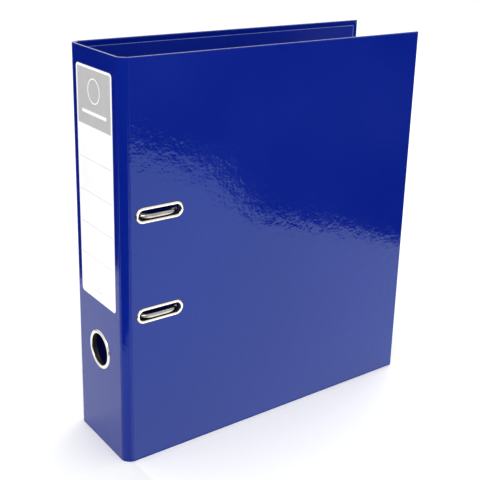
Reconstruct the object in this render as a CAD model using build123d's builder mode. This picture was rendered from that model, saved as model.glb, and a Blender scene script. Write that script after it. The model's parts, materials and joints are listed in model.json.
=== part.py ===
"""Lever arch file for A4 paper: three hinged cover panels and a nickel-plated lever arch mechanism.

Millimetres. +Z is up with the file standing on its bottom edges. The spine faces -X, the front cover
faces -Y and the back cover, which carries the mechanism, faces +Y. The origin is the middle of the
bottom of the file.
"""
from build123d import *
import math
import os

# Overall sizes of the closed file.
file_height = 320.0
file_depth = 287.0
file_width = 80.0

# Cover panels: grey board, glued outer sheet, glued inner liner.
board_thickness = 2.0
sheet_thickness = 0.3
liner_thickness = 0.3
bevel = 6.0
crease_gap = 0.1
liner_margin = 4.5
liner_gap = 0.1

# Slots in the front cover, with their nickel eyelets.
slot_length = 36.2
slot_width = 8.2
eyelet_wall = 0.5
eyelet_rim = 2.5
eyelet_height = 1.0
eyelet_clinch = 1.3
eyelet_clinch_height = 0.6
eyelet_clearance = 0.1
eyelet_rounding = 0.85

# Finger ring in the spine.
ring_height = 83.0
finger_hole_radius = 13.0
ring_flange = 3.4

# Spine label.
label_width = 55.0
label_length = 182.5
label_bottom = 124.5
label_thickness = 0.15
label_corner = 3.0

# Height of the mechanism's middle; the slots sit a little higher, so the arches rest low in them.
mechanism_height = 162.5
slot_rise = 1.4

# Mechanism base plate.
plate_start = 8.5
plate_width = 53.5
plate_length = 156.0
plate_thickness = 1.0
plate_corner = 6.0
rivet_inset_near = 6.5
rivet_inset_far = 6.0
rivet_inset_end = 7.0
rivet_radius = 2.0
rivet_head_radius = 4.2
rivet_head_height = 1.2
rivet_clearance = 0.1
head_rounding = 0.7

# Paper hole spacing, posts and arches.
hole_spacing = 80.0
post_distance = 50.0
post_step = 0.2
post_wall = 0.5
post_height = 50.0
post_foot_radius = 4.2
post_foot_height = 1.6
post_spigot_radius = 1.6
arch_distance = 12.0
arch_wire_radius = 2.0
arch_in_slot = 3.8
arch_corner_radius = 13.0
foot_bend_radius = 5.0
tip_gap = 0.3
tip_length = 1.2
tip_radius = 0.3
saddle_width = 5.0
saddle_wall = 1.3
saddle_end_gap = 1.0
saddle_side_gap = 0.541
shaft_clearance = 0.08

# Lever, its bracket, pivot pin and roller.
lever_centre = 32.0
lever_travel = 81.0
arch_travel = 46.0
lever_reach = 92.0
lever_hub_width = 18.0
lever_arm_width = 11.0
lever_taper = 18.0
lever_tail = 10.5
lever_sheet = 1.0
lever_hub_radius = 3.5
lever_tip_radius = 2.8
lever_tip_drop = 7.0
crank_throw = 24.0
crank_bend_radius = 3.0
crank_gap = 0.4
crank_side_gap = 0.6
crank_end_gap = 1.4
roller_radius = 5.0
roller_boss_radius = 3.0
roller_start_angle = 60.0
roller_side_gap = 0.4
axle_radius = 1.25
axle_head_radius = 2.2
axle_head_height = 0.7
pin_radius = 1.75
pin_head_radius = 2.8
pin_head_height = 1.0
pin_clearance = 0.06
ear_thickness = 1.2
ear_radius = 3.2
ear_gap = 0.3
bracket_tail = 9.0
bracket_rivet_radius = 1.5
bracket_rivet_head_radius = 2.5
bracket_rivet_inset = 3.5
bracket_rivet_spread = 4.0

# Torsion spring that throws the arches open.
spring_wire_radius = 0.5
spring_clearance = 0.15
spring_end_gap = 1.2
spring_coil_length = 8.0
spring_leg = 9.0
spring_leg_drop = 0.1
spring_floor_gap = 0.25

# Compressor bar that slides on the posts.
bar_length = 106.0
bar_width = 12.0
bar_sheet = 0.9
bar_height = 6.5
bar_flange = 2.6
bar_hole_clearance = 0.3
bar_end_flat = 0.5
clip_thickness = 0.6
clip_length = 21.0
clip_width = 8.0
clip_tab = 3.5
clip_end = 2.0
clip_rivet_radius = 1.2
clip_rivet_head_radius = 2.1

# Values worked out from the sizes above.
panel_thickness = sheet_thickness + board_thickness + liner_thickness
liner_depth = sheet_thickness + board_thickness
inner_gap = file_width - 2 * panel_thickness
spine_x = -file_depth / 2
fore_edge_x = file_depth / 2
front_y = -file_width / 2
back_y = file_width / 2
mitre = math.tan(math.radians(45) / 2)
slot_centre = (arch_distance + post_distance) / 2
half_spacing = hole_spacing / 2
post_radius = arch_wire_radius + post_step
post_bore_radius = post_radius - post_wall
coil_inner = arch_wire_radius + spring_clearance
leg_height = plate_thickness + spring_floor_gap + spring_wire_radius
shaft_height = leg_height + spring_leg_drop + spring_wire_radius + coil_inner
arch_top = inner_gap + arch_in_slot - arch_wire_radius
crank_lift = crank_throw * math.sin(math.radians(arch_travel))
roller_arm = crank_lift / (
    math.cos(math.radians(roller_start_angle))
    - math.cos(math.radians(roller_start_angle + lever_travel))
)

# The crank stands as far up the shaft as the lower saddle beside it needs, and the lever's pivot follows.
lower_run = foot_bend_radius + saddle_width + 2 * saddle_side_gap
crank_far = lower_run - half_spacing + crank_bend_radius
lever_pivot = crank_far + crank_end_gap + crank_bend_radius + roller_arm
crank_near = lever_pivot - max(lever_hub_radius, ear_radius) - arch_wire_radius - crank_side_gap
roller_height = shaft_height + arch_wire_radius + crank_gap + roller_radius
pivot_height = roller_height + roller_arm * math.cos(math.radians(roller_start_angle))
roller_v = lever_pivot - roller_arm * math.sin(math.radians(roller_start_angle))

# The mechanism has its own plane on the inner face of the back cover: x runs from the spine's outer
# face towards the fore edge, y runs up the file from the mechanism's middle, z runs towards the front cover.
mechanism = Plane(
    origin=(spine_x, back_y - panel_thickness, mechanism_height), x_dir=(1, 0, 0), z_dir=(0, -1, 0)
)


def place(s, v, h):
    """A point of the mechanism's plane, in the file's frame."""
    return mechanism.from_local_coords(Vector(s, v, h))


def side_plane(s):
    """The plane across the mechanism at distance s from the spine: x runs up the file, y outwards."""
    return Plane(origin=place(s, 0, 0), x_dir=(0, 0, 1), z_dir=(1, 0, 0))


os.makedirs("parts", exist_ok=True)


def save(part, name):
    part.label = name
    export_step(part, f"parts/{name}.step")


# ---------------------------------------------------------------- cover panels
# The outer faces meet at four creases, two at each edge of the spine.
front_crease = Vector(spine_x + bevel, front_y)
front_spine_crease = Vector(spine_x, front_y + bevel)
back_spine_crease = Vector(spine_x, back_y - bevel)
back_crease = Vector(spine_x + bevel, back_y)
front_corner = Vector(fore_edge_x, front_y)
back_corner = Vector(fore_edge_x, back_y)


def layer(start, end, depth, thickness, free_start=None, free_end=None):
    """Plan outline of one layer of a panel, between two depths below its outer face.

    The inside of the file lies to the right of the way from start to end. An end at a crease is
    mitred; a free end is square and stands back by the amount given.
    """
    along = (end - start).normalized()
    inward = Vector(along.Y, -along.X)

    def end_inset(free, level):
        return crease_gap + level * mitre if free is None else free

    points = []
    for level in (depth, depth + thickness):
        points.append(start + along * end_inset(free_start, level) + inward * level)
    for level in (depth + thickness, depth):
        points.append(end - along * end_inset(free_end, level) + inward * level)
    return points


def slab(outline, bottom, top):
    """Add an upright slab with this plan outline to the part being built."""
    with BuildSketch(Plane.XY.offset(bottom)) as plan:
        with BuildLine():
            Polyline(*outline, close=True)
        make_face()
    extrude(plan.sketch, amount=top - bottom)


# Each run goes round the file the same way: start crease, end crease, and which end is free.
runs = {
    "front_cover": (front_corner, front_crease, "start"),
    "front_hinge": (front_crease, front_spine_crease, None),
    "spine": (front_spine_crease, back_spine_crease, None),
    "back_hinge": (back_spine_crease, back_crease, None),
    "back_cover": (back_crease, back_corner, "end"),
}


def run_layer(run, depth, thickness, free_inset=0.0):
    """The plan outline of one layer of a named panel."""
    start, end, free = runs[run]
    return layer(
        start,
        end,
        depth,
        thickness,
        free_start=free_inset if free == "start" else None,
        free_end=free_inset if free == "end" else None,
    )


def fore_edge_layer(inner, edge, free, depth, thickness):
    """Plan outline of one layer of the fold flap along a cover's fore edge."""
    start, end = (inner, edge) if free == "end" else (edge, inner)
    return layer(start, end, depth, thickness, 0.0, 0.0)


slot_face = Plane(
    origin=(spine_x + slot_centre, front_y, mechanism_height + slot_rise),
    x_dir=(1, 0, 0),
    z_dir=(0, -1, 0),
)
ring_face = Plane(origin=(spine_x, 0, ring_height), x_dir=(0, -1, 0), z_dir=(-1, 0, 0))
rivet_face = mechanism.offset(-panel_thickness)


def slot_outline(grow):
    SlotOverall(slot_length + 2 * grow, slot_width + 2 * grow)


def ring_outline(grow):
    Circle(finger_hole_radius + grow)


def cover_rivet_places():
    """The four corner rivets of the base plate, as places in the mechanism's plane."""
    near = plate_start + rivet_inset_near
    far = plate_start + plate_width - rivet_inset_far
    reach = plate_length / 2 - rivet_inset_end
    return Locations(*[(s, v) for s in (near, far) for v in (-reach, reach)])


def cut_slots():
    with BuildSketch(slot_face) as holes:
        with GridLocations(0, hole_spacing, 1, 2):
            slot_outline(eyelet_wall + eyelet_clearance)
    extrude(holes.sketch, amount=2 * panel_thickness, both=True, mode=Mode.SUBTRACT)


def cut_finger_hole():
    with BuildSketch(ring_face) as holes:
        ring_outline(eyelet_wall + eyelet_clearance)
    extrude(holes.sketch, amount=2 * panel_thickness, both=True, mode=Mode.SUBTRACT)


def cut_cover_rivets():
    with BuildSketch(mechanism) as holes:
        with cover_rivet_places():
            Circle(rivet_radius + rivet_clearance)
    extrude(holes.sketch, amount=2 * panel_thickness, both=True, mode=Mode.SUBTRACT)


def no_cut():
    pass


cuts = {"front_cover": cut_slots, "spine": cut_finger_hole, "back_cover": cut_cover_rivets}
panel_depth = panel_thickness - sheet_thickness
return_height = liner_margin - sheet_thickness

for run, (run_start, run_end, free) in runs.items():
    cut = cuts.get(run, no_cut)

    # Grey board, one glued sheet thickness inside every wrapped edge.
    with BuildPart() as board:
        slab(
            run_layer(run, sheet_thickness, board_thickness, sheet_thickness),
            sheet_thickness,
            file_height - sheet_thickness,
        )
        cut()
    save(board.part, f"{run}_board")

    # Inner liner, which stops short of the wrapped edges.
    liner_inset = liner_margin + liner_gap
    with BuildPart() as liner:
        slab(
            run_layer(run, liner_depth, liner_thickness, liner_inset),
            liner_inset,
            file_height - liner_inset,
        )
        cut()
    save(liner.part, f"{run}_liner")

    # Outer sheet. On the narrow hinge strips it includes its own folded ends.
    with BuildPart() as sheet:
        slab(run_layer(run, 0, sheet_thickness), 0, file_height)
        cut()
        if run.endswith("hinge"):
            for bottom in (0, file_height - sheet_thickness):
                slab(run_layer(run, sheet_thickness, panel_depth), bottom, bottom + sheet_thickness)
            for bottom in (0, file_height - liner_margin):
                slab(run_layer(run, liner_depth, liner_thickness), bottom, bottom + liner_margin)
    save(sheet.part, f"{run}_sheet")

    # Folded edges of the outer sheet: one flap over the top, one under the bottom, one at the fore edge.
    if not run.endswith("hinge"):
        with BuildPart() as flaps:
            for bottom in (0, file_height - sheet_thickness):
                slab(run_layer(run, sheet_thickness, panel_depth), bottom, bottom + sheet_thickness)
            for bottom in (sheet_thickness, file_height - liner_margin):
                slab(run_layer(run, liner_depth, liner_thickness), bottom, bottom + return_height)
            if free:
                edge = run_end if free == "end" else run_start
                inner = Vector(edge.X - sheet_thickness, edge.Y)
                deep = Vector(edge.X - liner_margin, edge.Y)
                edge_strip = fore_edge_layer(inner, edge, free, sheet_thickness, panel_depth)
                return_strip = fore_edge_layer(deep, edge, free, liner_depth, liner_thickness)
                for bottom in (sheet_thickness, file_height - liner_margin):
                    slab(edge_strip, bottom, bottom + return_height)
                for strip in (edge_strip, return_strip):
                    slab(strip, liner_inset, file_height - liner_inset)
        save(flaps.part, f"{run}_flaps")


# ---------------------------------------------------------------- eyelets, ring and label
def eyelet(name, face, outline, rim):
    """A pressed nickel eyelet: rounded rim outside, barrel through the panel, clinched flange inside."""
    with BuildPart() as pressed:
        with BuildSketch(face):
            outline(rim)
        extrude(amount=eyelet_height)
        with BuildSketch(face):
            outline(eyelet_wall)
        extrude(amount=-panel_thickness - eyelet_clinch_height)
        with BuildSketch(face.offset(-panel_thickness)):
            outline(eyelet_clinch)
        extrude(amount=-eyelet_clinch_height)
        with BuildSketch(face.offset(eyelet_height)):
            outline(0)
        extrude(amount=-panel_thickness - eyelet_clinch_height - eyelet_height, mode=Mode.SUBTRACT)
        outward = Axis(face.origin, face.z_dir)
        fillet(pressed.edges().group_by(outward)[-1], radius=eyelet_rounding * eyelet_height)
    save(pressed.part, name)


for name, v in (("upper_slot_eyelet", half_spacing), ("lower_slot_eyelet", -half_spacing)):
    face = slot_face.shift_origin(slot_face.from_local_coords((0, v, 0)))
    eyelet(name, face, slot_outline, eyelet_rim)
eyelet("finger_ring", ring_face, ring_outline, ring_flange)

with BuildPart() as spine_label:
    with BuildSketch(
        Plane(
            origin=(spine_x, 0, label_bottom + label_length / 2), x_dir=(0, -1, 0), z_dir=(-1, 0, 0)
        )
    ):
        RectangleRounded(label_width, label_length, label_corner)
    extrude(amount=label_thickness)
save(spine_label.part, "spine_label")


# ---------------------------------------------------------------- base plate, rivets and posts
def cross_plane(v):
    """The plane across the shaft at height v: x points towards the front cover, y to the fore edge."""
    return Plane(origin=place(0, v, 0), x_dir=(0, -1, 0), z_dir=(0, 0, 1))


bracket_rivet_v = lever_pivot + bracket_tail - bracket_rivet_inset
bracket_rivet_places = Locations(
    (lever_centre - bracket_rivet_spread, bracket_rivet_v),
    (lever_centre + bracket_rivet_spread, bracket_rivet_v),
)
post_places = GridLocations(0, hole_spacing, 1, 2)
post_line = Plane(origin=place(post_distance, 0, 0), x_dir=(1, 0, 0), z_dir=(0, -1, 0))
saddle_top = half_spacing - foot_bend_radius - saddle_width - saddle_end_gap
saddle_middle = saddle_width
saddle_bottom = saddle_side_gap + foot_bend_radius - half_spacing
saddle_radius = arch_wire_radius + shaft_clearance + saddle_wall

with BuildPart() as base_plate:
    with BuildSketch(mechanism):
        with Locations((plate_start + plate_width / 2, 0)):
            RectangleRounded(plate_width, plate_length, plate_corner)
        with cover_rivet_places():
            Circle(rivet_radius + rivet_clearance, mode=Mode.SUBTRACT)
        with bracket_rivet_places:
            Circle(bracket_rivet_radius + pin_clearance, mode=Mode.SUBTRACT)
    extrude(amount=plate_thickness)
    with BuildSketch(post_line):
        with post_places:
            Circle(post_spigot_radius + pin_clearance)
    extrude(amount=plate_thickness, mode=Mode.SUBTRACT)
    for low in (saddle_bottom, saddle_middle, saddle_top):
        with BuildSketch(cross_plane(low)):
            with Locations((shaft_height / 2, arch_distance)):
                Rectangle(shaft_height, 2 * saddle_radius)
            with Locations((shaft_height, arch_distance)):
                Circle(saddle_radius)
        extrude(amount=saddle_width)
    with BuildSketch(cross_plane(-plate_length / 2)):
        with Locations((shaft_height, arch_distance)):
            Circle(arch_wire_radius + shaft_clearance)
    extrude(amount=plate_length, mode=Mode.SUBTRACT)
save(base_plate.part, "base_plate")

with BuildPart() as cover_rivets:
    with BuildSketch(rivet_face):
        with cover_rivet_places():
            Circle(rivet_radius)
    extrude(amount=panel_thickness + plate_thickness)
    for face, direction in ((rivet_face, -1), (mechanism.offset(plate_thickness), 1)):
        with BuildSketch(face):
            with cover_rivet_places():
                Circle(rivet_head_radius)
        extrude(amount=direction * rivet_head_height)
    outward = Axis(mechanism.origin, mechanism.z_dir)
    head_rims = cover_rivets.edges().filter_by(GeomType.CIRCLE).group_by(outward)
    fillet(head_rims[0] + head_rims[-1], radius=head_rounding * rivet_head_height)
save(cover_rivets.part, "cover_rivets")

with BuildPart() as bracket_rivets:
    with BuildSketch(mechanism):
        with bracket_rivet_places:
            Circle(bracket_rivet_radius)
    extrude(amount=plate_thickness + ear_thickness)
    with BuildSketch(mechanism.offset(plate_thickness + ear_thickness)):
        with bracket_rivet_places:
            Circle(bracket_rivet_head_radius)
    extrude(amount=pin_head_height)
    head_rims = bracket_rivets.edges().filter_by(GeomType.CIRCLE).group_by(outward)
    fillet(head_rims[-1], radius=head_rounding * pin_head_height)
save(bracket_rivets.part, "bracket_rivets")

for name, v in (("upper_post", half_spacing), ("lower_post", -half_spacing)):
    foot = post_line.shift_origin(place(post_distance, v, 0))
    with BuildPart() as post:
        with BuildSketch(foot):
            Circle(post_spigot_radius)
        extrude(amount=plate_thickness)
        with BuildSketch(foot.offset(plate_thickness)):
            Circle(post_foot_radius)
        extrude(amount=post_foot_height)
        with BuildSketch(foot.offset(plate_thickness)):
            Circle(post_radius)
        extrude(amount=post_height - plate_thickness)
        foot_rim = post.edges().filter_by(GeomType.CIRCLE).filter_by(
            lambda e: abs(e.radius - post_foot_radius) < 0.01
        )
        fillet(foot_rim.group_by(outward)[-1], radius=head_rounding * post_foot_height)
        with BuildSketch(foot.offset(plate_thickness + post_foot_height)):
            Circle(post_bore_radius)
        extrude(amount=post_height - plate_thickness - post_foot_height, mode=Mode.SUBTRACT)
    save(post.part, name)


# ---------------------------------------------------------------- arches: one bent wire
crank_reach = arch_distance + crank_throw
wire_points = [
    place(post_distance, half_spacing, post_height + tip_gap),
    place(post_distance, half_spacing, arch_top),
    place(arch_distance, half_spacing, arch_top),
    place(arch_distance, half_spacing, shaft_height),
    place(arch_distance, crank_near, shaft_height),
    place(crank_reach, crank_near, shaft_height),
    place(crank_reach, crank_far, shaft_height),
    place(arch_distance, crank_far, shaft_height),
    place(arch_distance, -half_spacing, shaft_height),
    place(arch_distance, -half_spacing, arch_top),
    place(post_distance, -half_spacing, arch_top),
    place(post_distance, -half_spacing, post_height + tip_gap),
]
wire_radii = (
    [arch_corner_radius] * 2 + [foot_bend_radius] + [crank_bend_radius] * 4
    + [foot_bend_radius] + [arch_corner_radius] * 2
)
with BuildPart() as arch_wire:
    with BuildLine() as wire_line:
        FilletPolyline(*wire_points, radius=wire_radii)
    with BuildSketch(Plane(origin=wire_line.wires()[0] @ 0, z_dir=wire_line.wires()[0] % 0)):
        Circle(arch_wire_radius)
    sweep()
    for end in (wire_points[0], wire_points[-1]):
        with Locations(Plane(origin=end, z_dir=(0, 1, 0))):
            Cone(arch_wire_radius, tip_radius, tip_length, align=(Align.CENTER, Align.CENTER, Align.MIN))
save(arch_wire.part, "arch_wire")

# Torsion spring: a close-wound coil round the shaft, drawn as the tube that it fills, with two legs.
coil_start = crank_near + crank_bend_radius + spring_end_gap
coil_end = coil_start + spring_coil_length
leg_reach = arch_distance + spring_leg


def spring_leg_sweep(points):
    with BuildLine() as leg:
        Polyline(*points)
    with BuildSketch(Plane(origin=points[0], z_dir=points[1] - points[0])) as wire:
        Circle(spring_wire_radius)
    sweep(wire.sketch, path=leg.wires()[0], transition=Transition.ROUND)


with BuildPart() as arch_spring:
    with BuildSketch(cross_plane(coil_start)):
        with Locations((shaft_height, arch_distance)):
            Circle(coil_inner + 2 * spring_wire_radius)
            Circle(coil_inner, mode=Mode.SUBTRACT)
    extrude(amount=spring_coil_length)
    v = coil_start + spring_wire_radius
    spring_leg_sweep(
        [
            place(arch_distance, v, leg_height),
            place(leg_reach, v, leg_height),
            place(leg_reach, crank_near - 2 * arch_wire_radius, leg_height),
        ]
    )
    v = coil_end - spring_wire_radius
    spring_leg_sweep([place(arch_distance, v, leg_height), place(leg_reach, v, leg_height)])
save(arch_spring.part, "arch_spring")

# ---------------------------------------------------------------- lever, bracket, pin and roller
pivot = (lever_pivot, pivot_height)
roller_at = (roller_v, roller_height)
tip_at = (lever_pivot - lever_reach, pivot_height - lever_tip_drop)
hub_half = lever_hub_width / 2
bracket_half = hub_half + ear_gap + ear_thickness
centre_side = side_plane(lever_centre)


def hull_of(circles):
    """The outline round some circles, each given as a place and a radius."""
    for centre, radius in circles:
        with Locations(centre):
            Circle(radius)
    make_hull()


def lever_plan(inset):
    """The lever seen from above: a wide hub that tapers to the arm."""
    taper_start = roller_v - roller_radius
    taper_end = taper_start - lever_taper
    hub = hub_half - inset
    arm = lever_arm_width / 2 - inset
    ends = (lever_pivot + lever_tail, tip_at[0] - lever_tip_radius)
    left = [(-hub, ends[0]), (-hub, taper_start), (-arm, taper_end), (-arm, ends[1])]
    right = [(-s, v) for s, v in reversed(left)]
    with BuildSketch(mechanism) as plan:
        with BuildLine():
            Polyline(*[(lever_centre + s, v) for s, v in left + right], close=True)
        make_face()
    return plan.sketch


arm_run = (Vector(*tip_at) - Vector(*pivot)).normalized()
arm_up = Vector(arm_run.Y, -arm_run.X)
web_at_hub = Vector(*pivot) + arm_up * (lever_hub_radius - lever_sheet)
web_at_tip = Vector(*tip_at) + arm_up * (lever_tip_radius - lever_sheet)
below = -pivot_height

with BuildPart() as lever_hollow:
    with BuildSketch(centre_side):
        with BuildLine():
            Polyline(
                web_at_hub - arm_run * lever_tail,
                web_at_tip,
                (web_at_tip.X, below),
                (lever_pivot + lever_tail, below),
                close=True,
            )
        make_face()
    extrude(amount=lever_hub_width, both=True)
    extrude(lever_plan(lever_sheet), amount=2 * inner_gap, both=True, mode=Mode.INTERSECT)

with BuildPart() as lever:
    with BuildSketch(centre_side):
        hull_of([(pivot, lever_hub_radius), (roller_at, roller_boss_radius)])
    extrude(amount=hub_half, both=True)
    with BuildSketch(centre_side):
        hull_of([(pivot, lever_hub_radius), (tip_at, lever_tip_radius)])
    extrude(amount=hub_half, both=True)
    extrude(lever_plan(0), amount=2 * inner_gap, both=True, mode=Mode.INTERSECT)
    add(lever_hollow.part, mode=Mode.SUBTRACT)
    with BuildSketch(centre_side):
        with Locations(pivot):
            Circle(pin_radius + pin_clearance)
        with Locations(roller_at):
            Circle(axle_radius + pin_clearance)
    extrude(amount=hub_half, both=True, mode=Mode.SUBTRACT)
save(lever.part, "lever")


def headed_pin(name, at, radius, half_length, head_radius, head_height):
    """A plain pin across the lever with a peened head at each end."""
    with BuildPart() as pin:
        with BuildSketch(centre_side):
            with Locations(at):
                Circle(radius)
        extrude(amount=half_length, both=True)
        for side in (-1, 1):
            with BuildSketch(side_plane(lever_centre + side * half_length)):
                with Locations(at):
                    Circle(head_radius)
            extrude(amount=side * head_height)
        rims = pin.edges().filter_by(GeomType.CIRCLE).group_by(Axis.X)
        fillet(rims[0] + rims[-1], radius=head_rounding * head_height)
    save(pin.part, name)


headed_pin("lever_pin", pivot, pin_radius, bracket_half, pin_head_radius, pin_head_height)
headed_pin("roller_axle", roller_at, axle_radius, hub_half, axle_head_radius, axle_head_height)

with BuildPart() as lever_roller:
    with BuildSketch(centre_side):
        with Locations(roller_at):
            Circle(roller_radius)
            Circle(axle_radius + pin_clearance, mode=Mode.SUBTRACT)
    extrude(amount=hub_half - lever_sheet - roller_side_gap, both=True)
save(lever_roller.part, "lever_roller")

with BuildPart() as lever_bracket:
    base_middle = lever_pivot + (bracket_tail - ear_radius) / 2
    with BuildSketch(mechanism.offset(plate_thickness)):
        with Locations((lever_centre, base_middle)):
            Rectangle(2 * bracket_half, bracket_tail + ear_radius)
    extrude(amount=ear_thickness)
    for side in (-1, 1):
        with BuildSketch(side_plane(lever_centre + side * (hub_half + ear_gap))):
            with BuildLine():
                Polyline(
                    (lever_pivot - ear_radius, plate_thickness),
                    (lever_pivot - ear_radius, pivot_height),
                    (lever_pivot + ear_radius, pivot_height),
                    (lever_pivot + bracket_tail, plate_thickness + 2 * ear_thickness),
                    (lever_pivot + bracket_tail, plate_thickness),
                    close=True,
                )
            make_face()
            with Locations(pivot):
                Circle(ear_radius)
        extrude(amount=side * ear_thickness)
    with BuildSketch(centre_side):
        with Locations(pivot):
            Circle(pin_radius + pin_clearance / 2)
    extrude(amount=bracket_half, both=True, mode=Mode.SUBTRACT)
    with BuildSketch(mechanism):
        with bracket_rivet_places:
            Circle(bracket_rivet_radius + pin_clearance)
    extrude(amount=2 * (plate_thickness + ear_thickness), mode=Mode.SUBTRACT)
save(lever_bracket.part, "lever_bracket")

# ---------------------------------------------------------------- compressor bar with its grip clip
bar_hole_radius = post_radius + bar_hole_clearance
bar_top = bar_height + bar_sheet
bar_corner = bar_width / 2 - bar_end_flat
clip_middle = half_spacing + bar_hole_radius + clip_end - clip_length / 2
clip_rivet_v = clip_middle - clip_length / 4 + clip_rivet_radius

with BuildPart() as compressor_bar:
    with BuildSketch(post_line.offset(bar_height)):
        RectangleRounded(bar_width, bar_length, bar_corner)
    extrude(amount=bar_sheet + bar_flange)
    with BuildSketch(post_line.offset(bar_top)):
        RectangleRounded(
            bar_width - 2 * bar_sheet, bar_length - 2 * bar_sheet, bar_corner - bar_sheet
        )
    extrude(amount=bar_flange, mode=Mode.SUBTRACT)
    with BuildSketch(post_line.offset(bar_height)):
        with post_places:
            Circle(bar_hole_radius)
        with Locations((0, clip_rivet_v)):
            Circle(clip_rivet_radius + pin_clearance)
    extrude(amount=bar_sheet, mode=Mode.SUBTRACT)
save(compressor_bar.part, "compressor_bar")

with BuildPart() as compressor_clip:
    with BuildSketch(post_line.offset(bar_top)):
        with Locations((0, clip_middle)):
            Rectangle(clip_width, clip_length)
        with Locations((0, half_spacing)):
            Circle(bar_hole_radius, mode=Mode.SUBTRACT)
        with Locations((0, clip_rivet_v)):
            Circle(clip_rivet_radius + pin_clearance, mode=Mode.SUBTRACT)
    extrude(amount=clip_thickness)
    with BuildSketch(post_line.offset(bar_top)):
        with Locations((0, clip_middle - clip_length / 2 + clip_thickness / 2)):
            Rectangle(clip_width, clip_thickness)
    extrude(amount=clip_tab)
save(compressor_clip.part, "compressor_clip")

with BuildPart() as clip_rivet:
    with BuildSketch(post_line.offset(bar_height)):
        with Locations((0, clip_rivet_v)):
            Circle(clip_rivet_radius)
    extrude(amount=bar_sheet + clip_thickness)
    for level, direction in ((bar_height, -1), (bar_top + clip_thickness, 1)):
        with BuildSketch(post_line.offset(level)):
            with Locations((0, clip_rivet_v)):
                Circle(clip_rivet_head_radius)
        extrude(amount=direction * axle_head_height)
save(clip_rivet.part, "clip_rivet")
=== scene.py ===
import json
import math

import bmesh
import bpy
from mathutils import Matrix, Vector


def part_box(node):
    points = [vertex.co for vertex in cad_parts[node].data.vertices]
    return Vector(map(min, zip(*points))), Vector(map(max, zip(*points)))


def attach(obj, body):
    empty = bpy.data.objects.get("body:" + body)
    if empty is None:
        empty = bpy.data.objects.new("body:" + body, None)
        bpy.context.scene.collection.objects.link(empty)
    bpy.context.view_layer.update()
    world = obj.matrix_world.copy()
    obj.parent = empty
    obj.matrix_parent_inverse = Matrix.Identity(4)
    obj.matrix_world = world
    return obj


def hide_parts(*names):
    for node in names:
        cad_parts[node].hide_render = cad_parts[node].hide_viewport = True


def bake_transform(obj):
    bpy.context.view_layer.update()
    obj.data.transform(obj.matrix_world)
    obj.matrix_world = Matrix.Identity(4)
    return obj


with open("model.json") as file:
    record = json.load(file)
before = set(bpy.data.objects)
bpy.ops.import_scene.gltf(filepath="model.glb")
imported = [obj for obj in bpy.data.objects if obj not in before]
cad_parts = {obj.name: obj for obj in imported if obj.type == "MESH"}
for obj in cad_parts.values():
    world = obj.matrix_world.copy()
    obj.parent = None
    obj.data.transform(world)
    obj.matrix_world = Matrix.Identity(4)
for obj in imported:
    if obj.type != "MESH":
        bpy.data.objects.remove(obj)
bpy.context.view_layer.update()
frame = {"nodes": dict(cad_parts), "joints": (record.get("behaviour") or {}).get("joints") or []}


# ------------------------------------------------------------------ laminated outer sheet
# The outside of the file is one sheet of blue printed paper under a glossy plastic film. It is glued
# over the five grey boards and folded round their edges, and a blunt tool has pressed a groove along
# each of the four creases.
mm = 0.001
joint_at = {j["name"]: Vector(j["pos_m"]) for j in frame["joints"] if "pos_m" in j}
sheet_thickness = 0.3 * mm
panel_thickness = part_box("front_cover_liner")[1].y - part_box("front_cover_sheet")[0].y
flap_width = 4.5 * mm
fold_radius = 0.75 * mm
fold_segments = 5
crease_radius = 1.1 * mm
crease_segments = 4
crease_gap = 0.1 * mm
hinge_bulge = 0.7 * mm
bulge_cuts = 10
file_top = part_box("spine_sheet")[1].z
mitre = math.tan(math.radians(22.5))


def surface(name, colour, second_colour, rough, rough_spread, patch_scale, metallic=0.0):
    """A material whose colour and roughness drift over the surface; returns it with its parts."""
    patch_low, patch_high = 0.3, 0.7
    material = bpy.data.materials.new(name)
    material.use_nodes = True
    tree = material.node_tree
    shader = tree.nodes["Principled BSDF"]
    shader.inputs["Metallic"].default_value = metallic
    place = tree.nodes.new("ShaderNodeTexCoord")
    patches = tree.nodes.new("ShaderNodeTexNoise")
    patches.inputs["Scale"].default_value = patch_scale
    patches.inputs["Detail"].default_value = 4.0
    tree.links.new(place.outputs["Object"], patches.inputs["Vector"])
    tint = tree.nodes.new("ShaderNodeValToRGB")
    tint.color_ramp.elements[0].position = patch_low
    tint.color_ramp.elements[1].position = patch_high
    tint.color_ramp.elements[0].color = (*colour, 1.0)
    tint.color_ramp.elements[1].color = (*second_colour, 1.0)
    tree.links.new(patches.outputs["Fac"], tint.inputs["Fac"])
    tree.links.new(tint.outputs["Color"], shader.inputs["Base Color"])
    gloss = tree.nodes.new("ShaderNodeMapRange")
    gloss.inputs["From Min"].default_value = patch_low
    gloss.inputs["From Max"].default_value = patch_high
    gloss.inputs["To Min"].default_value = rough - rough_spread
    gloss.inputs["To Max"].default_value = rough + rough_spread
    tree.links.new(patches.outputs["Fac"], gloss.inputs["Value"])
    tree.links.new(gloss.outputs["Result"], shader.inputs["Roughness"])
    return material, tree, shader, place


def grain(tree, shader, place, scale, height, detail=2.0, stretch=(1, 1, 1), under=None):
    """Adds a fine relief; further calls stack on the one given as under."""
    stretched = tree.nodes.new("ShaderNodeMapping")
    stretched.inputs["Scale"].default_value = stretch
    tree.links.new(place.outputs["Object"], stretched.inputs["Vector"])
    noise = tree.nodes.new("ShaderNodeTexNoise")
    noise.inputs["Scale"].default_value = scale
    noise.inputs["Detail"].default_value = detail
    tree.links.new(stretched.outputs["Vector"], noise.inputs["Vector"])
    bump = tree.nodes.new("ShaderNodeBump")
    bump.inputs["Strength"].default_value = 1.0
    bump.inputs["Distance"].default_value = height
    tree.links.new(noise.outputs["Fac"], bump.inputs["Height"])
    if under:
        tree.links.new(under.outputs["Normal"], bump.inputs["Normal"])
    tree.links.new(bump.outputs["Normal"], shader.inputs["Normal"])
    return bump


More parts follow.
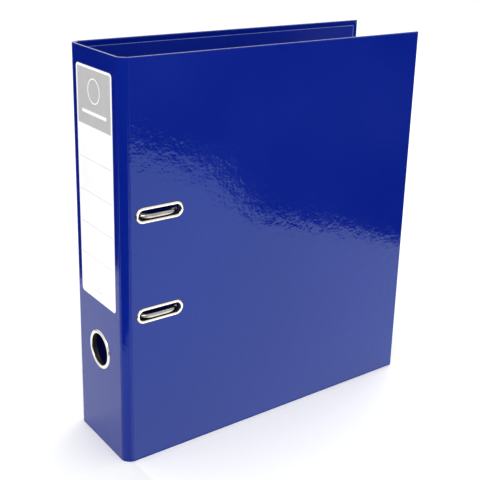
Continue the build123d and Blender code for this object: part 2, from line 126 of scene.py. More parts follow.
laminate, tree, shader, place = surface(
    "blue_gloss_laminate", (0.0012, 0.0092, 0.190), (0.0020, 0.0120, 0.214), 0.10, 0.025, 9.0
)
film_tint = (0.46, 0.68, 1.0, 1.0)
shader.inputs["Specular Tint"].default_value = film_tint
waves = grain(tree, shader, place, scale=13.0, height=0.0002, detail=1.0)
ripples = grain(tree, shader, place, scale=125.0, height=0.00018, detail=3.0, under=waves)
grain(tree, shader, place, scale=420.0, height=0.00006, detail=1.0, under=ripples)


def finished(name, mesh_maker, material, body=None, sharp_angle=35.0):
    """Turns a bmesh into a shaded piece, and rides it on a body when one is given."""
    mesh = bpy.data.meshes.new(name)
    mesh_maker.to_mesh(mesh)
    mesh_maker.free()
    for face in mesh.polygons:
        face.use_smooth = True
    mesh.set_sharp_from_angle(angle=math.radians(sharp_angle))
    mesh.materials.append(material)
    piece = bpy.data.objects.new(name, mesh)
    bpy.context.scene.collection.objects.link(piece)
    if body:
        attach(piece, body)
    return piece


def keep_result(piece, sharp_angle=35.0):
    """Replaces a piece's mesh by what its modifiers make of it."""
    graph = bpy.context.evaluated_depsgraph_get()
    mesh = bpy.data.meshes.new_from_object(piece.evaluated_get(graph))
    piece.modifiers.clear()
    piece.data = mesh
    for face in mesh.polygons:
        face.use_smooth = True
    mesh.set_sharp_from_angle(angle=math.radians(sharp_angle))


def flat_normals(piece):
    """Keeps the broad faces flat beside their rounded edges."""
    weighted = piece.modifiers.new("normals", "WEIGHTED_NORMAL")
    weighted.keep_sharp = True
    weighted.weight = 100


def cut(piece, cutter):
    """Cuts a closed cutter out of a piece and throws the cutter away."""
    hole = piece.modifiers.new("hole", "BOOLEAN")
    hole.operation = "DIFFERENCE"
    hole.solver = "EXACT"
    hole.object = cutter
    bpy.context.view_layer.update()
    keep_result(piece)
    bpy.data.objects.remove(cutter)


front_corner = Vector((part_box("front_cover_flaps")[1].x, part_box("front_cover_sheet")[0].y))
back_corner = Vector((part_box("back_cover_flaps")[1].x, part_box("back_cover_sheet")[1].y))
front_crease = joint_at["front_crease_fold"].to_2d()
front_spine_crease = joint_at["front_spine_fold"].to_2d()
back_spine_crease = joint_at["back_spine_fold"].to_2d()
back_crease = joint_at["back_crease_fold"].to_2d()
panels = {
    "front_cover": (front_corner, front_crease, "start"),
    "front_hinge": (front_crease, front_spine_crease, None),
    "spine": (front_spine_crease, back_spine_crease, None),
    "back_hinge": (back_spine_crease, back_crease, None),
    "back_cover": (back_crease, back_corner, "end"),
}


def panel_frame(panel):
    """Start, end, direction along and direction inwards of a panel, seen in plan."""
    start, end, free = panels[panel]
    along = (end - start).normalized()
    return start, end, along, Vector((along.y, -along.x)), free


def wrapped_sheet(panel):
    """One panel's share of the outer sheet: outer face, folded edges and the flaps on the inside."""
    start, end, along, inward, free = panel_frame(panel)
    plan = []
    for depth in (0, panel_thickness):
        step = 0 if free == "start" else crease_gap / 2 + depth * mitre
        plan.append(start + along * step + inward * depth)
    for depth in (panel_thickness, 0):
        step = 0 if free == "end" else crease_gap / 2 + depth * mitre
        plan.append(end - along * step + inward * depth)
    shell = bmesh.new()
    floor_face = shell.faces.new([shell.verts.new((p.x, p.y, 0)) for p in plan])
    raised = bmesh.ops.extrude_face_region(shell, geom=[floor_face])
    lifted = [v for v in raised["geom"] if isinstance(v, bmesh.types.BMVert)]
    bmesh.ops.translate(shell, verts=lifted, vec=(0, 0, file_top))
    bmesh.ops.recalc_face_normals(shell, faces=shell.faces)
    facing = 0.999
    inward3 = inward.to_3d()
    along3 = along.to_3d()
    outer_corner = start.to_3d()

    def depth_of(point):
        return (point - outer_corner).dot(inward3)

    def is_crease_end(edge):
        middle = (edge.verts[0].co + edge.verts[1].co) / 2
        upright = abs(edge.verts[0].co.z - edge.verts[1].co.z) > file_top / 2
        reach = (middle - outer_corner).dot(along3)
        near_start = reach < (end - start).length / 2
        return upright and not (near_start and free == "start" or not near_start and free == "end")

    folds = []
    for edge in shell.edges:
        level = {round(v.co.z, 5) for v in edge.verts}
        runs_along = len(level) == 1 and abs(depth_of(edge.verts[0].co) - depth_of(edge.verts[1].co)) < mm
        upright = len(level) == 2
        if runs_along or upright and not is_crease_end(edge):
            folds.append(edge)
    grooves = [e for e in shell.edges if is_crease_end(e) and depth_of(e.verts[0].co) < mm]
    bmesh.ops.bevel(
        shell, geom=grooves, offset=crease_radius, segments=crease_segments, profile=0.5,
        affect="EDGES", material=-1,
    )
    folds = [e for e in folds if e.is_valid]
    level_edges = []
    for edge in shell.edges:
        same_level = abs(edge.verts[0].co.z - edge.verts[1].co.z) < 1e-6
        same_depth = abs(depth_of(edge.verts[0].co) - depth_of(edge.verts[1].co)) < 1e-5
        if same_level and same_depth and edge.calc_length() > 2 * mm:
            level_edges.append(edge)
    folds = list(set(folds + level_edges))
    bmesh.ops.bevel(
        shell, geom=folds, offset=fold_radius, segments=fold_segments, profile=0.5,
        affect="EDGES", material=-1,
    )
    trims = [((0, 0, flap_width), (0, 0, 1)), ((0, 0, file_top - flap_width), (0, 0, 1))]
    if free:
        edge_point = (start + along * flap_width) if free == "start" else (end - along * flap_width)
        trims.append((edge_point.to_3d(), along3))
    smallest_flap = 20 * mm * mm
    for at, normal in trims:
        inner = [f for f in shell.faces if f.normal.dot(inward3) > facing and f.calc_area() > smallest_flap]
        inner_edges = list({e for f in inner for e in f.edges})
        inner_verts = list({v for f in inner for v in f.verts})
        geometry = inner + inner_edges + inner_verts
        bmesh.ops.bisect_plane(shell, geom=geometry, plane_co=at, plane_no=normal, dist=1e-6)
    inner = [f for f in shell.faces if f.normal.dot(inward3) > facing]
    window = max(inner, key=lambda f: f.calc_area())
    bmesh.ops.delete(shell, geom=[window], context="FACES")
    if not free and panel != "spine":
        length = (end - start).length
        for i in range(1, bulge_cuts):
            at = (start + along * (length * i / bulge_cuts)).to_3d()
            everything = shell.verts[:] + shell.edges[:] + shell.faces[:]
            bmesh.ops.bisect_plane(shell, geom=everything, plane_co=at, plane_no=along3, dist=1e-7)
        for v in shell.verts:
            across = 2 * (v.co - outer_corner).dot(along3) / length - 1
            share = 1 - min(1, max(0, depth_of(v.co) / panel_thickness))
            v.co -= inward3 * hinge_bulge * share * max(0, 1 - across * across)
    piece = finished(panel + "_wrap", shell, laminate)
    thickness = piece.modifiers.new("sheet", "SOLIDIFY")
    thickness.thickness = sheet_thickness
    thickness.offset = -1
    thickness.use_even_offset = True
    bpy.context.view_layer.update()
    keep_result(piece)
    return piece


def slot_cutter(centre, half_straight, radius, depth, name):
    """A stadium-shaped plug along Y, for cutting a slot."""
    plug = bmesh.new()
    rim = bmesh.ops.create_circle(plug, cap_ends=True, segments=64, radius=radius)["verts"]
    for v in rim:
        if abs(v.co.x) > 1e-9:
            v.co.x += math.copysign(half_straight, v.co.x)
    bmesh.ops.rotate(plug, verts=plug.verts, matrix=Matrix.Rotation(math.pi / 2, 3, "X"))
    bmesh.ops.translate(plug, verts=plug.verts, vec=(centre.x, centre.y + depth, centre.z))
    raised = bmesh.ops.extrude_face_region(plug, geom=plug.faces[:])
    lifted = [v for v in raised["geom"] if isinstance(v, bmesh.types.BMVert)]
    bmesh.ops.translate(plug, verts=lifted, vec=(0, -2 * depth, 0))
    bmesh.ops.recalc_face_normals(plug, faces=plug.faces)
    return finished(name, plug, laminate)


slot_box = {n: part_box(n) for n in ("upper_slot_eyelet", "lower_slot_eyelet")}
rim_width = 2.5 * mm
hole_slack = 0.6 * mm
slot_cut_depth = 4 * mm
wraps = {panel: wrapped_sheet(panel) for panel in panels}
for node, (low, high) in slot_box.items():
    half_width = (high.z - low.z) / 2 - rim_width
    half_straight = (high.x - low.x) / 2 - rim_width - half_width
    middle = (low + high) / 2
    cutter = slot_cutter(
        middle, half_straight, half_width + hole_slack, slot_cut_depth, node + "_cutter"
    )
    cut(wraps["front_cover"], cutter)
ring_low, ring_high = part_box("finger_ring")
ring_middle = (ring_low + ring_high) / 2
ring_flange = 3.4 * mm
ring_bore = (ring_high.z - ring_low.z) / 2 - ring_flange
ring_cut_depth = 12 * mm
plug = bmesh.new()
bmesh.ops.create_cone(
    plug, cap_ends=True, segments=96, radius1=ring_bore + hole_slack, radius2=ring_bore + hole_slack,
    depth=ring_cut_depth,
)
bmesh.ops.rotate(plug, verts=plug.verts, matrix=Matrix.Rotation(math.pi / 2, 3, "Y"))
bmesh.ops.translate(plug, verts=plug.verts, vec=ring_middle)
cut(wraps["spine"], finished("ring_cutter", plug, laminate))
for panel, piece in wraps.items():
    flat_normals(piece)
    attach(piece, panel)
    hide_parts(panel + "_sheet")
    if not panel.endswith("hinge"):
        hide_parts(panel + "_flaps")


# ------------------------------------------------------------------ grey boards and inner liner
# Each panel is 2 mm grey board made of recycled paper. The inside is lined with smooth blue paper that
# stops short of the folded flaps, and runs over the creases without a break.
board, tree, shader, place = surface(
    "grey_board", (0.36, 0.35, 0.32), (0.47, 0.46, 0.43), 0.86, 0.05, 120.0
)
grain(tree, shader, place, scale=900.0, height=0.00005, detail=4.0)
liner, tree, shader, place = surface(
    "blue_liner_paper", (0.0042, 0.0148, 0.230), (0.0056, 0.0185, 0.260), 0.22, 0.04, 14.0
)
shader.inputs["Specular Tint"].default_value = film_tint
shader.inputs["Specular IOR Level"].default_value = 0.3
grain(tree, shader, place, scale=700.0, height=0.000012, detail=3.0)
nodes = frame["nodes"]
for panel in panels:
    nodes[panel + "_board"].data.materials.clear()
    nodes[panel + "_board"].data.materials.append(board)
    nodes[panel + "_liner"].data.materials.clear()
    nodes[panel + "_liner"].data.materials.append(liner)

overlay = 0.12 * mm
crease_nip = 0.4 * mm
liner_reach = 4.0 * mm
liner_sink = 0.05 * mm
liner_end = flap_width + 0.2 * mm
groove_reach = 1.2 * mm
groove_depth = 0.2 * mm
groove_end = 0.35 * mm


def crease_strip(name, crease, first, second, level, strip_reach, inside_face, material):
    """A strip of sheet or liner over one crease."""
    inner_step = level * mitre
    first_inward = Vector((first.y, -first.x))
    second_inward = Vector((second.y, -second.x))
    line = [
        crease - first * (inner_step + strip_reach) + first_inward * level,
        crease - first * (inner_step + crease_nip) + first_inward * level,
        crease - first * inner_step + first_inward * level,
        crease + second * (inner_step + crease_nip) + second_inward * level,
        crease + second * (inner_step + strip_reach) + second_inward * level,
    ]
    strip_end = liner_end if inside_face else groove_end
    strip = bmesh.new()
    low = [strip.verts.new((p.x, p.y, strip_end)) for p in line]
    edges = [strip.edges.new(pair) for pair in zip(low, low[1:])]
    raised = bmesh.ops.extrude_edge_only(strip, edges=edges)
    lifted = [v for v in raised["geom"] if isinstance(v, bmesh.types.BMVert)]
    bmesh.ops.translate(strip, verts=lifted, vec=(0, 0, file_top - 2 * strip_end))
    shown_way = (first_inward + second_inward).to_3d() * (1 if inside_face else -1)
    bmesh.ops.recalc_face_normals(strip, faces=strip.faces)
    if sum(f.normal.dot(shown_way) for f in strip.faces) < 0:
        bmesh.ops.reverse_faces(strip, faces=strip.faces)
    piece = finished(name, strip, material)
    thickness = piece.modifiers.new("paper", "SOLIDIFY")
    thickness.thickness = overlay
    thickness.offset = 1 if inside_face else -1
    bpy.context.view_layer.update()
    keep_result(piece)
    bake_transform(piece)


ways = {panel: panel_frame(panel)[2] for panel in panels}
for crease, first, second in (
    (front_crease, "front_cover", "front_hinge"),
    (front_spine_crease, "front_hinge", "spine"),
    (back_spine_crease, "spine", "back_hinge"),
    (back_crease, "back_hinge", "back_cover"),
):
    crease_strip(
        f"{first}_{second}_liner_bend", crease, ways[first], ways[second],
        panel_thickness - liner_sink, liner_reach, True, liner,
    )
    crease_strip(
        f"{first}_{second}_groove", crease, ways[first], ways[second],
        groove_depth, groove_reach, False, laminate,
    )

bare_edge, tree, shader, place = surface(
    "bare_paper_edge", (0.16, 0.21, 0.50), (0.24, 0.29, 0.58), 0.6, 0.05, 90.0
)
grain(tree, shader, place, scale=1200.0, height=0.00001, detail=3.0)
edge_width = 0.35 * mm
edge_height = 0.04 * mm
for panel in panels:
    start, end, along, inward, free = panel_frame(panel)
    mitred = panel_thickness * mitre + crease_gap
    near = flap_width if free == "start" else mitred
    far = (end - start).length - (flap_width if free == "end" else mitred)
    low, high = flap_width, file_top - flap_width
    strips = [(near, far, low, low + edge_width), (near, far, high - edge_width, high)]
    if free == "start":
        strips.append((near, near + edge_width, low + edge_width, high - edge_width))
    elif free == "end":
        strips.append((far - edge_width, far, low + edge_width, high - edge_width))
    lines = bmesh.new()
    for s0, s1, z0, z1 in strips:
        corners = [(s0, z0), (s1, z0), (s1, z1), (s0, z1)]
        raised_by = inward * (panel_thickness + edge_height)
        places = [start + along * reach + raised_by for reach, level in corners]
        lines.faces.new([lines.verts.new((p.x, p.y, level)) for p, (reach, level) in zip(places, corners)])
    for face in lines.faces:
        face.normal_update()
        if face.normal.dot(inward.to_3d()) < 0:
            face.normal_flip()
    piece = finished(panel + "_liner_edge", lines, bare_edge)
    film = piece.modifiers.new("paper", "SOLIDIFY")
    film.thickness = edge_height
    film.offset = -1
    bpy.context.view_layer.update()
    keep_result(piece)
    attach(piece, panel)


# ------------------------------------------------------------------ slot eyelets
# Each slot in the front cover has a long oval eyelet, drawn from thin brass and nickel plated. Its rim is
# rolled over the outer face, its barrel lines the hole and its inner end is clinched flat on the liner.
nickel, tree, shader, place = surface(
    "bright_nickel", (0.80, 0.775, 0.72), (0.90, 0.88, 0.835), 0.15, 0.04, 160.0, metallic=1.0
)
grain(tree, shader, place, scale=1400.0, height=0.000004, detail=3.0)
# Painted shade: a dark nickel laid on the seam round each rim and on the sharp inner lip, standing in for
# their shadow and dark reflections.
painted_shade_metal, tree, shader, place = surface(
    "painted_shade_rim_edge", (0.030, 0.028, 0.026), (0.050, 0.047, 0.043), 0.4, 0.06, 200.0, metallic=0.6
)
grain(tree, shader, place, scale=900.0, height=0.00001, detail=3.0)
rim_edge = 0.4 * mm
eyelet_height = 1.0 * mm
barrel_wall = 0.5 * mm
clinch_width = 1.3 * mm
clinch_height = 0.6 * mm
seam_height = 0.02 * mm
rim_shoulder = 0.45
rim_curl = 0.8


def eyelet_profile(rim, height):
    """Cross-section of an eyelet: distance from the opening, and height above the outer face."""
    inner = -panel_thickness - clinch_height
    profile = [(0.0, inner + 0.15 * mm), (0.0, height * rim_shoulder)]
    turns = 8
    for i in range(1, turns + 1):
        angle = math.pi * i / turns
        across = (rim - rim_edge) / 2 * (1 - math.cos(angle))
        rising = height * (rim_shoulder + (1 - rim_shoulder) * math.sin(angle))
        falling = height * math.sin(angle) ** rim_curl
        up = rising if angle < math.pi / 2 else falling
        profile.append((across, max(up, seam_height)))
    profile += [
        (rim, seam_height),
        (rim, 0.0),
        (barrel_wall, 0.0),
        (barrel_wall, -panel_thickness),
        (clinch_width - 0.1 * mm, -panel_thickness),
        (clinch_width, -panel_thickness - 0.2 * mm),
        (clinch_width - 0.25 * mm, inner + 0.08 * mm),
        (clinch_width / 2, inner),
        (0.15 * mm, inner),
    ]
    return profile


def paint_rim_shade(piece, outward, face_level):
    """Paints shade on the seam round the rim and the sharp inner lip, with a dark material in place of
    their shadow and dark reflections.
    """
    lying_flat, standing = 0.8, 0.15
    piece.data.materials.append(painted_shade_metal)
    for face in piece.data.polygons:
        up = face.center.dot(outward) - face_level
        flat = abs(face.normal.dot(outward))
        seam = 0 < up < 0.1 * mm and flat > lying_flat
        lip = up > -panel_thickness and flat < standing
        if seam or lip:
            face.material_index = 1


def oval_eyelet(node):
    """Sweeps the eyelet's cross-section round a long oval that lies on the front cover."""
    low, high = slot_box[node]
    middle = (low + high) / 2
    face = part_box("front_cover_sheet")[0].y
    half_width = (high.z - low.z) / 2 - rim_width
    half_straight = (high.x - low.x) / 2 - rim_width - half_width
    ring = bmesh.new()
    section = [
        ring.verts.new((middle.x + half_straight, face - up, middle.z - half_width - out))
        for out, up in eyelet_profile(rim_width, eyelet_height)
    ]
    edges = [ring.edges.new((a, b)) for a, b in zip(section, section[1:] + section[:1])]
    moving = section + edges
    for side in (1, -1):
        centre = middle + Vector((side * half_straight, 0, 0))
        turned = bmesh.ops.spin(
            ring, geom=moving, cent=centre, axis=(0, -1, 0), dvec=(0, 0, 0), angle=math.pi, steps=24,
            use_merge=False, use_normal_flip=False, use_duplicate=False,
        )
        moving = turned["geom_last"]
        last_edges = [e for e in moving if isinstance(e, bmesh.types.BMEdge)]
        straight = bmesh.ops.extrude_edge_only(ring, edges=last_edges)
        moved = [v for v in straight["geom"] if isinstance(v, bmesh.types.BMVert)]
        bmesh.ops.translate(ring, verts=moved, vec=(-side * 2 * half_straight, 0, 0))
        drawn_edges = [e for e in straight["geom"] if isinstance(e, bmesh.types.BMEdge)]
        moving = moved + [e for e in drawn_edges if all(v in moved for v in e.verts)]
    bmesh.ops.remove_doubles(ring, verts=ring.verts, dist=1e-6)
    bmesh.ops.recalc_face_normals(ring, faces=ring.faces)
    piece = finished(node + "_rim", ring, nickel, "front_cover", 50.0)
    paint_rim_shade(piece, Vector((0, -1, 0)), -face)
    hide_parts(node)


for node in slot_box:
    oval_eyelet(node)


# ------------------------------------------------------------------ finger ring
# The hole in the spine takes a round eyelet of the same nickel-plated brass, with a wider flange, so that
# a finger can pull the file off a shelf.
ring_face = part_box("spine_sheet")[0].x
ring = bmesh.new()
section = [
    ring.verts.new((ring_face - up, ring_middle.y, ring_middle.z + ring_bore + out))
    for out, up in eyelet_profile(ring_flange, eyelet_height)
]
edges = [ring.edges.new((a, b)) for a, b in zip(section, section[1:] + section[:1])]
bmesh.ops.spin(
    ring, geom=section + edges, cent=ring_middle, axis=(1, 0, 0), dvec=(0, 0, 0), angle=2 * math.pi,
    steps=96, use_merge=True, use_normal_flip=False, use_duplicate=False,
)
bmesh.ops.recalc_face_normals(ring, faces=ring.faces)
piece = finished("finger_ring_rim", ring, nickel, "spine", 50.0)
paint_rim_shade(piece, Vector((-1, 0, 0)), -ring_face)
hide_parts("finger_ring")


# ------------------------------------------------------------------ spine label
# A white satin paper label is stuck on the spine. It has rounded corners, a grey printed block at the
# top, four faint writing lines and a small plain mark at the foot.
paper, tree, shader, place = surface(
    "white_label_paper", (0.90, 0.90, 0.90), (0.93, 0.93, 0.925), 0.36, 0.04, 60.0
)
grain(tree, shader, place, scale=1500.0, height=0.000004, detail=3.0)
header_ink, tree, shader, place = surface(
    "grey_printed_block", (0.455, 0.45, 0.45), (0.485, 0.48, 0.48), 0.4, 0.04, 90.0
)
grain(tree, shader, place, scale=1500.0, height=0.000004, detail=3.0)
line_ink, tree, shader, place = surface(
    "faint_printed_line", (0.52, 0.52, 0.55), (0.60, 0.60, 0.63), 0.42, 0.04, 90.0
)
grain(tree, shader, place, scale=1500.0, height=0.000004, detail=3.0)
label_low, label_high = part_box("spine_label")
label_corner = 3.0 * mm
header_low = label_high.z - 44.5 * mm
header_border = 2.0 * mm
line_count = 4
line_gap = 26.0 * mm
line_width = 0.4 * mm

card = bmesh.new()
corners = [
    (label_low.x, label_low.y, label_low.z), (label_low.x, label_high.y, label_low.z),
    (label_low.x, label_high.y, label_high.z), (label_low.x, label_low.y, label_high.z),
]
front = card.faces.new([card.verts.new(c) for c in corners])
bmesh.ops.bevel(
    card, geom=card.verts[:], offset=label_corner, segments=8, profile=0.5, affect="VERTICES", material=-1
)
levels = [header_low, label_high.z - header_border]
first_line = header_low - line_gap
for i in range(line_count):
    levels += [first_line - i * line_gap - line_width / 2, first_line - i * line_gap + line_width / 2]
for level in levels:
    bmesh.ops.bisect_plane(
        card, geom=card.verts[:] + card.edges[:] + card.faces[:], plane_co=(0, 0, level), plane_no=(0, 0, 1)
    )
for side in (label_low.y + header_border, label_high.y - header_border):
    bmesh.ops.bisect_plane(
        card, geom=card.verts[:] + card.edges[:] + card.faces[:], plane_co=(0, side, 0), plane_no=(0, 1, 0)
    )
for face in card.faces:
    centre = face.calc_center_median()
    inside = label_low.y + header_border < centre.y < label_high.y - header_border
    if inside and header_low < centre.z < label_high.z - header_border:
        face.material_index = 1
    elif inside and any(
        abs(centre.z - (first_line - i * line_gap)) < line_width / 2 for i in range(line_count)
    ):
        face.material_index = 2
bmesh.ops.recalc_face_normals(card, faces=card.faces)
if card.faces[0].normal.x > 0:
    bmesh.ops.reverse_faces(card, faces=card.faces)
label = finished("spine_label_print", card, paper)
label.data.materials.append(header_ink)
label.data.materials.append(line_ink)
thickness = label.modifiers.new("paper", "SOLIDIFY")
thickness.thickness = label_high.x - label_low.x - 0.02 * mm
thickness.offset = -1
bpy.context.view_layer.update()
keep_result(label)
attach(label, "spine")
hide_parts("spine_label")

ink_height = 0.012 * mm
mark_middle = (label_low.y + label_high.y) / 2


def printed_ring(name, height, radius, width, material, bar_drop, bar_length, bar_width):
    """A plain printed mark: a ring with a bar below it, a film of ink on the label."""
    mark = bmesh.new()
    bmesh.ops.create_circle(mark, cap_ends=True, segments=64, radius=radius)
    disc = mark.faces[:][0]
    bmesh.ops.inset_region(mark, faces=[disc], thickness=width, use_even_offset=True, use_boundary=True)
    bmesh.ops.delete(mark, geom=[disc], context="FACES")
    corners = [
        (-bar_length / 2, -bar_drop - bar_width), (bar_length / 2, -bar_drop - bar_width),
        (bar_length / 2, -bar_drop), (-bar_length / 2, -bar_drop),
    ]
    mark.faces.new([mark.verts.new((x, y, 0)) for x, y in corners])
    turn = Matrix(((0, 0, -1), (-1, 0, 0), (0, 1, 0)))
    bmesh.ops.transform(mark, matrix=turn.to_4x4(), verts=mark.verts)
    bmesh.ops.translate(mark, verts=mark.verts, vec=(label_low.x - ink_height, mark_middle, height))
    bmesh.ops.recalc_face_normals(mark, faces=mark.faces)
    for face in mark.faces:
        if face.normal.x > 0:
            face.normal_flip()
    piece = finished(name, mark, material)
    film = piece.modifiers.new("ink", "SOLIDIFY")
    film.thickness = ink_height
    film.offset = -1
    bpy.context.view_layer.update()
    keep_result(piece)
    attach(piece, "spine")


printed_ring(
    "header_mark", height=header_low + 27 * mm, radius=9.5 * mm, width=0.9 * mm, material=paper,
    bar_drop=15.5 * mm, bar_length=38 * mm, bar_width=2.6 * mm,
)
printed_ring(
    "foot_mark", height=label_low.z + 13 * mm, radius=2.6 * mm, width=0.4 * mm, material=line_ink,
    bar_drop=4.6 * mm, bar_length=12 * mm, bar_width=0.7 * mm,
)


# ------------------------------------------------------------------ mechanism
# The lever arch mechanism is pressed and bent from mild steel and nickel plated: a base plate riveted to
# the back cover, two posts, one bent wire that makes both arches, and a lever with a roller that swings it.
plate, tree, shader, place = surface(
    "nickel_plated_steel", (0.62, 0.61, 0.585), (0.72, 0.71, 0.685), 0.27, 0.05, 70.0, metallic=1.0
)
grain(tree, shader, place, scale=500.0, height=0.00001, detail=3.0, stretch=(1, 1, 0.15))
# Painted shade: the wire and posts are coloured much darker than the plated plate, standing in for the
# shade inside the slots.
wire, tree, shader, place = surface(
    "nickel_wire_painted_shade", (0.34, 0.325, 0.30), (0.48, 0.46, 0.43), 0.12, 0.03, 120.0, metallic=1.0
)
grain(tree, shader, place, scale=900.0, height=0.000006, detail=3.0)
rivet, tree, shader, place = surface(
    "nickel_rivet", (0.66, 0.65, 0.62), (0.78, 0.77, 0.74), 0.22, 0.05, 200.0, metallic=1.0
)
grain(tree, shader, place, scale=800.0, height=0.00001, detail=3.0)
spring_steel, tree, shader, place = surface(
    "bare_spring_steel", (0.40, 0.395, 0.39), (0.52, 0.515, 0.505), 0.3, 0.06, 300.0, metallic=1.0
)
grain(tree, shader, place, scale=1600.0, height=0.000006, detail=3.0)
nylon, tree, shader, place = surface(
    "natural_nylon", (0.78, 0.76, 0.68), (0.84, 0.82, 0.75), 0.42, 0.05, 90.0
)
shader.inputs["Subsurface Weight"].default_value = 0.15
shader.inputs["Subsurface Scale"].default_value = 0.001
grain(tree, shader, place, scale=1100.0, height=0.00001, detail=3.0)
for names, finish in (
    (("base_plate", "lever_bracket", "lever", "compressor_bar"), plate),
    (("arch_wire", "upper_post", "lower_post"), wire),
    (("cover_rivets", "bracket_rivets", "lever_pin", "roller_axle", "clip_rivet"), rivet),
    (("compressor_clip", "arch_spring"), spring_steel),
    (("lever_roller",), nylon),
):
    for name in names:
        nodes[name].data.materials.clear()
        nodes[name].data.materials.append(finish)

# The torsion spring is wound round the arch shaft, and its two legs lie along the base plate.
spring_low, spring_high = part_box("arch_spring")
spring_wire = 0.47 * mm
coil_radius = 2.65 * mm
coil_turns = 8
coil_length = 8 * mm
shaft = joint_at["arch_swing"]
wire_margin = 0.5 * mm
leg_y = spring_high.y - wire_margin
leg_x = spring_high.x - wire_margin
coil_low = spring_high.z - coil_length + wire_margin
coil_high = spring_high.z - wire_margin
steps_per_turn = 24
coil_steps = coil_turns * steps_per_turn
foot_lift = 0.05 * mm
coil = bmesh.new()
wire_end = bmesh.ops.create_circle(coil, cap_ends=False, segments=10, radius=spring_wire)["verts"]
bmesh.ops.rotate(coil, verts=wire_end, matrix=Matrix.Rotation(math.pi / 2, 3, "Y"))
bmesh.ops.translate(coil, verts=wire_end, vec=(shaft.x, shaft.y + coil_radius, coil_low))


def drawn_on(rim, shift):
    """Draws the wire straight on from an open end by the given shift; returns the new end."""
    longer = bmesh.ops.extrude_edge_only(coil, edges=rim)["geom"]
    moved = [v for v in longer if isinstance(v, bmesh.types.BMVert)]
    bmesh.ops.translate(coil, verts=moved, vec=shift)
    return [e for e in longer if isinstance(e, bmesh.types.BMEdge) and all(v in moved for v in e.verts)]


first_rim = coil.edges[:]
turned = bmesh.ops.spin(
    coil, geom=wire_end + first_rim, cent=shaft, axis=(0, 0, 1), angle=-2 * math.pi * coil_turns,
    dvec=(0, 0, (coil_high - coil_low) / coil_steps), steps=coil_steps,
    use_merge=False, use_normal_flip=False, use_duplicate=False,
)["geom_last"]
last_rim = [e for e in turned if isinstance(e, bmesh.types.BMEdge)]
leg_shift = leg_x - shaft.x
drop = leg_y - shaft.y - coil_radius
far_rim = drawn_on(last_rim, (leg_shift, drop, 0))
near_rim = drawn_on(first_rim, (leg_shift, drop, 0))
for v in {v for e in near_rim for v in e.verts}:
    v.co.x -= v.co.z - coil_low
foot_rim = drawn_on(near_rim, (0, 0, spring_low.z + spring_wire - coil_low))
for v in {v for e in foot_rim for v in e.verts}:
    v.co.z = spring_low.z + foot_lift
for rim in (far_rim, foot_rim):
    bmesh.ops.holes_fill(coil, edges=rim, sides=0)
bmesh.ops.recalc_face_normals(coil, faces=coil.faces)
piece = finished("arch_spring_coil", coil, spring_steel, "back_cover", 60.0)
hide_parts("arch_spring")


# ------------------------------------------------------------------ floor, light and camera
# The file stands on a plain pale floor under soft light from all round. Dark and pale cards lie on the
# floor, hidden from the camera; they show only as reflections in the glossy covers.
floor_half = 6.0
card_level = 1.2 * mm
glow_level = 0.6 * mm
floor_mesh = bmesh.new()
bmesh.ops.create_grid(floor_mesh, x_segments=1, y_segments=1, size=floor_half)
floor_paint, tree, shader, place = surface(
    "pale_floor", (0.965, 0.965, 0.965), (0.98, 0.98, 0.98), 0.7, 0.05, 3.0
)
floor = finished("floor", floor_mesh, floor_paint)
dark, tree, shader, place = surface(
    "dark_card", (0.010, 0.010, 0.012), (0.014, 0.014, 0.016), 0.9, 0.03, 3.0
)
shader.inputs["Specular IOR Level"].default_value = 0.0
glow, tree, shader, place = surface("pale_card", (0.1, 0.1, 0.1), (0.12, 0.12, 0.12), 0.9, 0.03, 3.0)
shader.inputs["Emission Color"].default_value = (1.0, 0.99, 0.97, 1.0)
shader.inputs["Emission Strength"].default_value = 1.8
right_edge = ((0.44, -0.10), (0.35, -0.34), (0.28, -0.44), (0.35, -0.67), (0.30, -0.82), (-0.10, -1.50))
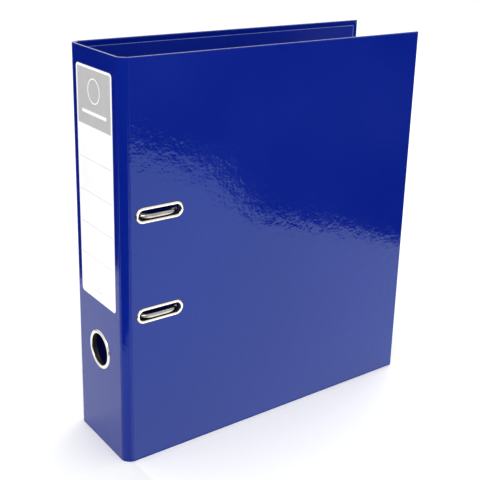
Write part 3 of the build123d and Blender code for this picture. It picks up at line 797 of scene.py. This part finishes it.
for name, material, height, corners in (
    ("dark_card_right", dark, card_level, (*right_edge, (-0.1, -3.4), (3.4, -3.4), (3.4, -0.10))),
    ("dark_card_left", dark, card_level, ((-0.26, 0.30), (-0.26, 3.2), (-3.2, 3.2), (-3.2, 0.36))),
    (
        "dark_card_near", dark, card_level,
        ((-0.34, -0.02), (-3.0, 0.3), (-3.0, -3.0), (-0.24, -3.0), (-0.22, -0.42)),
    ),
    ("pale_card_front", glow, glow_level, ((-0.137, -0.041), (1.1, -0.041), (1.1, -2.8), (0.0, -2.8))),
):
    card = bmesh.new()
    card.faces.new([card.verts.new((x, y, height)) for x, y in corners])
    card.normal_update()
    if card.faces[:][0].normal.z < 0:
        bmesh.ops.reverse_faces(card, faces=card.faces)
    bmesh.ops.triangulate(card, faces=card.faces)
    flag = finished(name, card, material)
    flag.visible_camera = False
    flag.visible_diffuse = False
    flag.visible_shadow = False
    flag.visible_transmission = False

world = bpy.data.worlds.new("studio")
bpy.context.scene.world = world
world.use_nodes = True
world.node_tree.nodes["Background"].inputs["Color"].default_value = (1.0, 1.0, 1.0, 1.0)
world.node_tree.nodes["Background"].inputs["Strength"].default_value = 1.0


def soft_light(name, at, aim, size, power):
    lamp = bpy.data.lights.new(name, "AREA")
    lamp.shape = "SQUARE"
    lamp.size = size
    lamp.energy = power
    light = bpy.data.objects.new(name, lamp)
    light.location = at
    light.rotation_euler = (Vector(aim) - Vector(at)).to_track_quat("-Z", "Y").to_euler()
    bpy.context.scene.collection.objects.link(light)


middle = Vector((0.0, 0.0, file_top / 2))
soft_light("key", (-1.3, -1.5, 1.9), middle, size=1.2, power=20.0)
soft_light("fill", (1.6, 0.9, 1.8), middle, size=1.4, power=12.0)

camera_data = bpy.data.cameras.new("camera")
camera = bpy.data.objects.new("camera", camera_data)
bpy.context.scene.collection.objects.link(camera)
bpy.context.scene.camera = camera
camera_place = (-0.43409, -0.58506, 0.43111)
azimuth, elevation, roll = math.radians(-37.08), math.radians(18.06), math.radians(1.87)
back = Vector(
    (math.sin(azimuth) * math.cos(elevation), -math.cos(azimuth) * math.cos(elevation), math.sin(elevation))
)
level_right = Vector((0, 0, 1)).cross(back).normalized()
level_up = back.cross(level_right)
right = level_right * math.cos(roll) + level_up * math.sin(roll)
up = level_up * math.cos(roll) - level_right * math.sin(roll)
turn = Matrix((right, up, back)).transposed()
camera.matrix_world = Matrix.Translation(camera_place) @ turn.to_4x4()
camera_data.lens = 68.34
camera_data.sensor_width = 36.0
camera_data.shift_x = -0.0396
camera_data.shift_y = -0.1109
camera_data.clip_start = 0.01
bpy.context.scene.view_settings.view_transform = "Standard"
